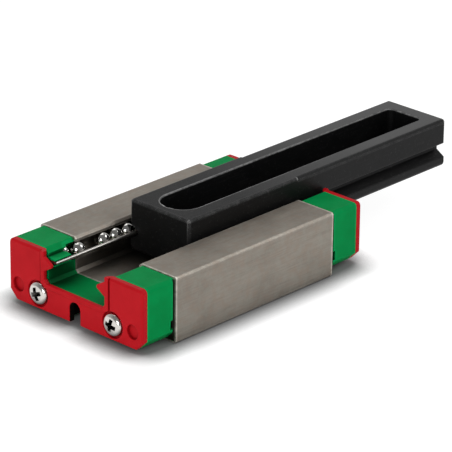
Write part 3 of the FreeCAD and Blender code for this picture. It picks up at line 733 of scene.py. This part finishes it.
# %% Round balls
SEEN_FINENESS, HIDDEN_FINENESS = 4, 2


def ball_middles(node):
    """Middle and radius of every separate ball in a solid, along the rail."""
    shape = bmesh.new()
    shape.from_mesh(frame["nodes"][node].data)
    bmesh.ops.remove_doubles(shape, verts=shape.verts, dist=WELD * MM)
    seen, found = set(), []
    for first in shape.verts:
        if first in seen:
            continue
        seen.add(first)
        ball = [first]
        for corner in ball:
            for edge in corner.link_edges:
                other = edge.other_vert(corner)
                if other not in seen:
                    seen.add(other)
                    ball.append(other)
        middle = sum((corner.co for corner in ball), Vector()) / len(ball)
        found.append((middle, max((corner.co - middle).length for corner in ball)))
    shape.free()
    return sorted(found, key=lambda item: item[0].x)


def round_balls(node, fineness):
    """True spheres in place of a solid's faceted balls."""
    shape = bmesh.new()
    places = ball_middles(node)
    for middle, radius in places:
        bmesh.ops.create_icosphere(shape, subdivisions=fineness, radius=radius,
                                   matrix=Matrix.Translation(middle))
    mesh = mesh_from(shape, f"{node}_lapped")
    mesh.shade_smooth()
    show_piece(f"{node}_lapped", mesh, ball_steel, [node])
    print(node, len(places), "balls, diameter in mm:", round(2 * places[0][1] / MM, 3))


for hand in ("left", "right"):
    round_balls(f"{hand}_load_balls", SEEN_FINENESS)
    round_balls(f"{hand}_return_balls", HIDDEN_FINENESS)

# %% [markdown]
# ## The screws
#
# Two small pan-head screws with a cross recess hold each seal and cap on the block. A screw is
# turned on a lathe, so it is made in the same way here: half of its outline is drawn, with a
# chamfered tip, a straight skirt, a tight shoulder and a slightly crowned top, and later spun round
# the axis. A ready cylinder would need as many cuts as the outline has corners.

# %% Outline of a pan-head screw
HEAD_HEIGHT, SHOULDER, CROWN = 1.05, 0.72, 0.18
SHANK_RADIUS, TIP_CHAMFER, SKIRT_CHAMFER = 1.0, 0.3, 0.06
SHOULDER_STEPS, CROWN_STEPS = 6, 4


def screw_outline(length, head_radius):
    """Places along the screw, from its tip at 0, and radii, in millimetres."""
    seat = length - HEAD_HEIGHT
    points = [(0, 0), (0, SHANK_RADIUS - TIP_CHAMFER), (TIP_CHAMFER, SHANK_RADIUS),
              (seat, SHANK_RADIUS), (seat, head_radius - SKIRT_CHAMFER),
              (seat + SKIRT_CHAMFER, head_radius)]
    for step in range(SHOULDER_STEPS + 1):
        angle = pi / 2 * step / SHOULDER_STEPS
        height = length - CROWN - SHOULDER * (1 - sin(angle))
        points.append((height, head_radius - SHOULDER * (1 - cos(angle))))
    flat = head_radius - SHOULDER
    for step in range(1, CROWN_STEPS + 1):
        share = 1 - step / CROWN_STEPS
        points.append((length - CROWN * share ** 2, flat * share))
    return points


print("head", HEAD_HEIGHT, "mm high on a shank of", 2 * SHANK_RADIUS, "mm")

# %% [markdown]
# ### The punch for the recess
#
# The cross recess is punched into the head, so it tapers towards its floor. The punch is a solid of
# its own: one cross above the head, a smaller one at the floor of the recess, and sloping walls
# between them. Taking it away with a Boolean keeps the edges crisp where it breaks through the
# crown, which would be hard to model by hand.

# %% The punch for the recess
RECESS_TOP = (1.08, 0.33)
RECESS_FLOOR = (0.52, 0.20)
RECESS_DEPTH = 0.98
PUNCH_OVER = 0.3


def cross_ring(shape, span, arm, height):
    """Corners of a cross at a height along X."""
    flat = [(span, -arm), (span, arm), (arm, arm), (arm, span), (-arm, span), (-arm, arm),
            (-span, arm), (-span, -arm), (-arm, -arm), (-arm, -span), (arm, -span), (arm, -arm)]
    return [shape.verts.new((height, y, z)) for y, z in flat]


def recess_punch(top, turn):
    """The tapering punch that leaves the recess in a head whose crown is at top."""
    shape = bmesh.new()
    taper = (RECESS_TOP[0] - RECESS_FLOOR[0]) / RECESS_DEPTH
    grow = 1 + PUNCH_OVER * taper / RECESS_TOP[0]
    high = cross_ring(shape, RECESS_TOP[0] * grow, RECESS_TOP[1] * grow, top + PUNCH_OVER)
    low = cross_ring(shape, *RECESS_FLOOR, top - RECESS_DEPTH)
    for index in range(len(high)):
        after = (index + 1) % len(high)
        shape.faces.new((high[index], high[after], low[after], low[index]))
    shape.faces.new(low)
    shape.faces.new(high[::-1])
    bmesh.ops.recalc_face_normals(shape, faces=shape.faces)
    bmesh.ops.rotate(shape, cent=(0, 0, 0), matrix=Matrix.Rotation(turn, 3, "X"), verts=shape.verts)
    return bpy.data.objects.new("recess_punch", mesh_from(shape, "recess_punch"))


print("recess", 2 * RECESS_TOP[0], "mm across and", RECESS_DEPTH, "mm deep")

# %% [markdown]
# ### Turned and punched
#
# Length and head width are measured from the solid screw's own box, so the heads sit exactly where
# the solids put them. The outline is spun into a blank, the punch is taken away, and the result is
# turned to face its end of the carriage. Nobody lines up the crosses when tightening screws, so
# each recess is turned by an angle of its own.

# %% Turned and punched screws
SPIN_STEPS = 64
SCREW_CREASE = radians(35)
RECESS_TURNS = {"front_left_screw": 20, "front_right_screw": -12,
                "rear_left_screw": 38, "rear_right_screw": 5}


def screw_blank(length, head_radius):
    """A turned screw without its recess, along X from its tip at 0, in millimetres."""
    shape = bmesh.new()
    outline = screw_outline(length, head_radius)
    points = [shape.verts.new((along, 0, radius)) for along, radius in outline]
    edges = [shape.edges.new(pair) for pair in zip(points, points[1:])]
    bmesh.ops.spin(shape, geom=points + edges, cent=(0, 0, 0), axis=(1, 0, 0), dvec=(0, 0, 0),
                   angle=2 * pi, steps=SPIN_STEPS, use_merge=True)
    bmesh.ops.remove_doubles(shape, verts=shape.verts, dist=WELD)
    bmesh.ops.recalc_face_normals(shape, faces=shape.faces)
    return bpy.data.objects.new("screw_blank", mesh_from(shape, "screw_blank"))


def pan_head_screw(node, turn):
    """A turned and punched screw in place of a solid one."""
    low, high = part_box(node)
    length, head_radius = (high.x - low.x) / MM, (high.y - low.y) / 2 / MM
    blank, punch = screw_blank(length, head_radius), recess_punch(length, turn)
    for item in (blank, punch):
        bpy.context.scene.collection.objects.link(item)
    cut = blank.modifiers.new("recess", "BOOLEAN")
    cut.object, cut.operation, cut.solver = punch, "DIFFERENCE", "EXACT"
    punched = blank.evaluated_get(bpy.context.evaluated_depsgraph_get())
    mesh = bpy.data.meshes.new_from_object(punched)
    for item in (blank, punch):
        bpy.data.objects.remove(item)
    front = node.startswith("front")
    middle = (low + high) / 2
    tip = Vector((high.x if front else low.x, middle.y, middle.z))
    facing = Matrix.Rotation(pi if front else 0, 4, "Z")
    mesh.transform(Matrix.Translation(tip) @ facing @ Matrix.Scale(MM, 4))
    mesh.shade_smooth()
    mesh.set_sharp_from_angle(angle=SCREW_CREASE)
    show_piece(f"{node}_turned", mesh, screw_plating, [node])
    print(node, "head", round(2 * head_radius, 2), "mm across,", len(mesh.polygons), "faces")


for node, turn in RECESS_TURNS.items():
    pan_head_screw(node, radians(turn))

# %% [markdown]
# ## Wires and guides
#
# The two wires that hold the balls, and the half-round guides inside the turns, already have their
# real shape in the solids. They stay as they are and only get a finish. The imported material is
# swapped in the object's own slot.

# %% Finishes on the solids that stay
staying = {"retaining_wire": wire_steel, "return_guide": green_plastic}
for node, piece in frame["nodes"].items():
    for ending, finish in staying.items():
        if node.endswith(ending):
            piece.material_slots[0].material = finish
            print(node, "gets", finish.name)

# %% [markdown]
# ## The floor
#
# The photo is a product shot on white: an even white ground, and only a soft grey shadow where the
# carriage touches down. The white must not come from brighter lamps, which would bleach the object.
# So the floor's paper glows, but only for what the camera and mirrors see, and for all other light
# it is an ordinary pale sheet that brightens the undersides. The floor itself is a plain square
# just under the object.

# %% Floor
FLOOR_SIDE = 4.0
FLOOR_DROP = 0.02 * MM

floor_shape = bmesh.new()
bmesh.ops.create_grid(floor_shape, x_segments=1, y_segments=1, size=FLOOR_SIDE / 2)
floor_mesh = mesh_from(floor_shape, "studio_floor")
floor = bpy.data.objects.new("studio_floor", floor_mesh)
floor.location.z = cad_low.z - FLOOR_DROP
bpy.context.scene.collection.objects.link(floor)
print("floor at z in mm:", round(floor.location.z / MM, 3))

# %% [markdown]
# ### White paper with a contact shadow
#
# A glowing floor would hide the shadow, because a glow doesn't care what stands on it. Here the
# glow is faded where the object comes close, and Ambient Occlusion knows how close that is. Its
# reach is kept shorter than the height of the dummy rail over the floor, so the end that sticks out
# casts no hard patch. The lit part of the paper, which is small, still takes the real shadows of
# the lamps.

# %% White paper
CONTACT_REACH = 4.6
CONTACT_SPAN = (0.44, 1.0)
FALL_OFF = 1.6
SHADOW_FLOOR = 0.07
DEEP_SPAN = (0.05, 0.30)
GLOW = 0.92
PAPER, PAPER_SEEN, PAPER_SHADED = (0.9,) * 3, (0.25,) * 3, (0.10,) * 3


def seen_directly(tree):
    """1 for rays from the camera, from mirrors and through glass, 0 for light that bounces."""
    path = tree.nodes.new("ShaderNodeLightPath")
    total = path.outputs["Is Camera Ray"]
    for name in ("Is Glossy Ray", "Is Transmission Ray"):
        total = calculated(tree, "MAXIMUM", total, path.outputs[name])
    return total


paper = bpy.data.materials.new("white_paper")
tree = empty_tree(paper)
direct = seen_directly(tree)
contact = openness(tree, CONTACT_REACH)
fade = calculated(tree, "POWER", between(tree, contact, 0, 1, *CONTACT_SPAN), FALL_OFF)
lowest = between(tree, contact, 0, SHADOW_FLOOR, *DEEP_SPAN)
fade = calculated(tree, "ADD", between(tree, fade, 0, 1 - SHADOW_FLOOR, 0, 1), lowest)
lit = tree.nodes.new("ShaderNodeBsdfDiffuse")
seen = blend_colours(tree, fade, PAPER_SHADED, PAPER_SEEN)
tree.links.new(blend_colours(tree, direct, PAPER, seen), lit.inputs["Color"])
glow = tree.nodes.new("ShaderNodeEmission")
glow.inputs["Color"].default_value = (GLOW, GLOW, GLOW, 1)
tree.links.new(calculated(tree, "MULTIPLY", direct, fade), glow.inputs["Strength"])
both = tree.nodes.new("ShaderNodeAddShader")
tree.links.new(lit.outputs[0], both.inputs[0])
tree.links.new(glow.outputs[0], both.inputs[1])
output = tree.nodes.new("ShaderNodeOutputMaterial")
tree.links.new(both.outputs[0], output.inputs["Surface"])
floor_mesh.materials.append(paper)
print("made", paper.name, "with", len(tree.nodes), "nodes")

# %% [markdown]
# ## The studio round it
#
# Bright metal shows the room more than itself, so the room matters. A white world on all sides
# would make steel look like plastic; a room with one bright and one dim side gives it form. The
# world is therefore a smooth fall of brightness from one direction to the other, and its brightest
# part lies low, straight behind the carriage. An image of a studio would do the same, but a single
# dot product of two directions is enough.

# %% World
BRIGHT_SIDE, DIM_SIDE = 0.93, 0.22
TOWARDS_BRIGHT = (0.62, 0.60, -0.50)
FALL_SPAN = (-0.6, 0.8)

world = bpy.data.worlds.new("white_studio")
bpy.context.scene.world = world
tree = empty_tree(world)
direction = tree.nodes.new("ShaderNodeTexCoord")
facing = tree.nodes.new("ShaderNodeVectorMath")
facing.operation = "DOT_PRODUCT"
facing.inputs[1].default_value = TOWARDS_BRIGHT
tree.links.new(direction.outputs["Generated"], facing.inputs[0])
surround = tree.nodes.new("ShaderNodeBackground")
surround.inputs["Color"].default_value = (1, 1, 1, 1)
brightness = between(tree, facing.outputs["Value"], DIM_SIDE, BRIGHT_SIDE, *FALL_SPAN)
tree.links.new(brightness, surround.inputs["Strength"])
output = tree.nodes.new("ShaderNodeOutputWorld")
tree.links.new(surround.outputs[0], output.inputs["Surface"])
print("world from", DIM_SIDE, "to", BRIGHT_SIDE)

# %% [markdown]
# ### Softboxes
#
# Three square area lamps stand in for softboxes: one high on the right, one overhead, and a small
# one low in front, which puts the bright spots on the balls and the screw heads. Larger lamps would
# soften the shadows even more, but then the balls would lose their sparkle. The carriage is only a
# few centimetres long, so a watt goes a long way.

# %% Softboxes
AIM = Vector((0.006, 0, 0.006))


def softbox(name, place, side, watts):
    """A square area lamp aimed at the middle of the carriage."""
    lamp = bpy.data.lights.new(name, "AREA")
    lamp.shape = "SQUARE"
    lamp.size = side
    lamp.energy = watts
    holder = bpy.data.objects.new(name, lamp)
    bpy.context.scene.collection.objects.link(holder)
    holder.location = place
    holder.rotation_euler = (AIM - Vector(place)).to_track_quat("-Z", "Y").to_euler()
    print(name, watts, "W from", place)


softbox("right_softbox", (0.42, -0.34, 0.42), side=0.30, watts=0.85)
softbox("top_softbox", (0.10, 0.16, 0.60), side=0.40, watts=0.75)
softbox("front_softbox", (-0.50, -0.30, 0.18), side=0.22, watts=1.6)
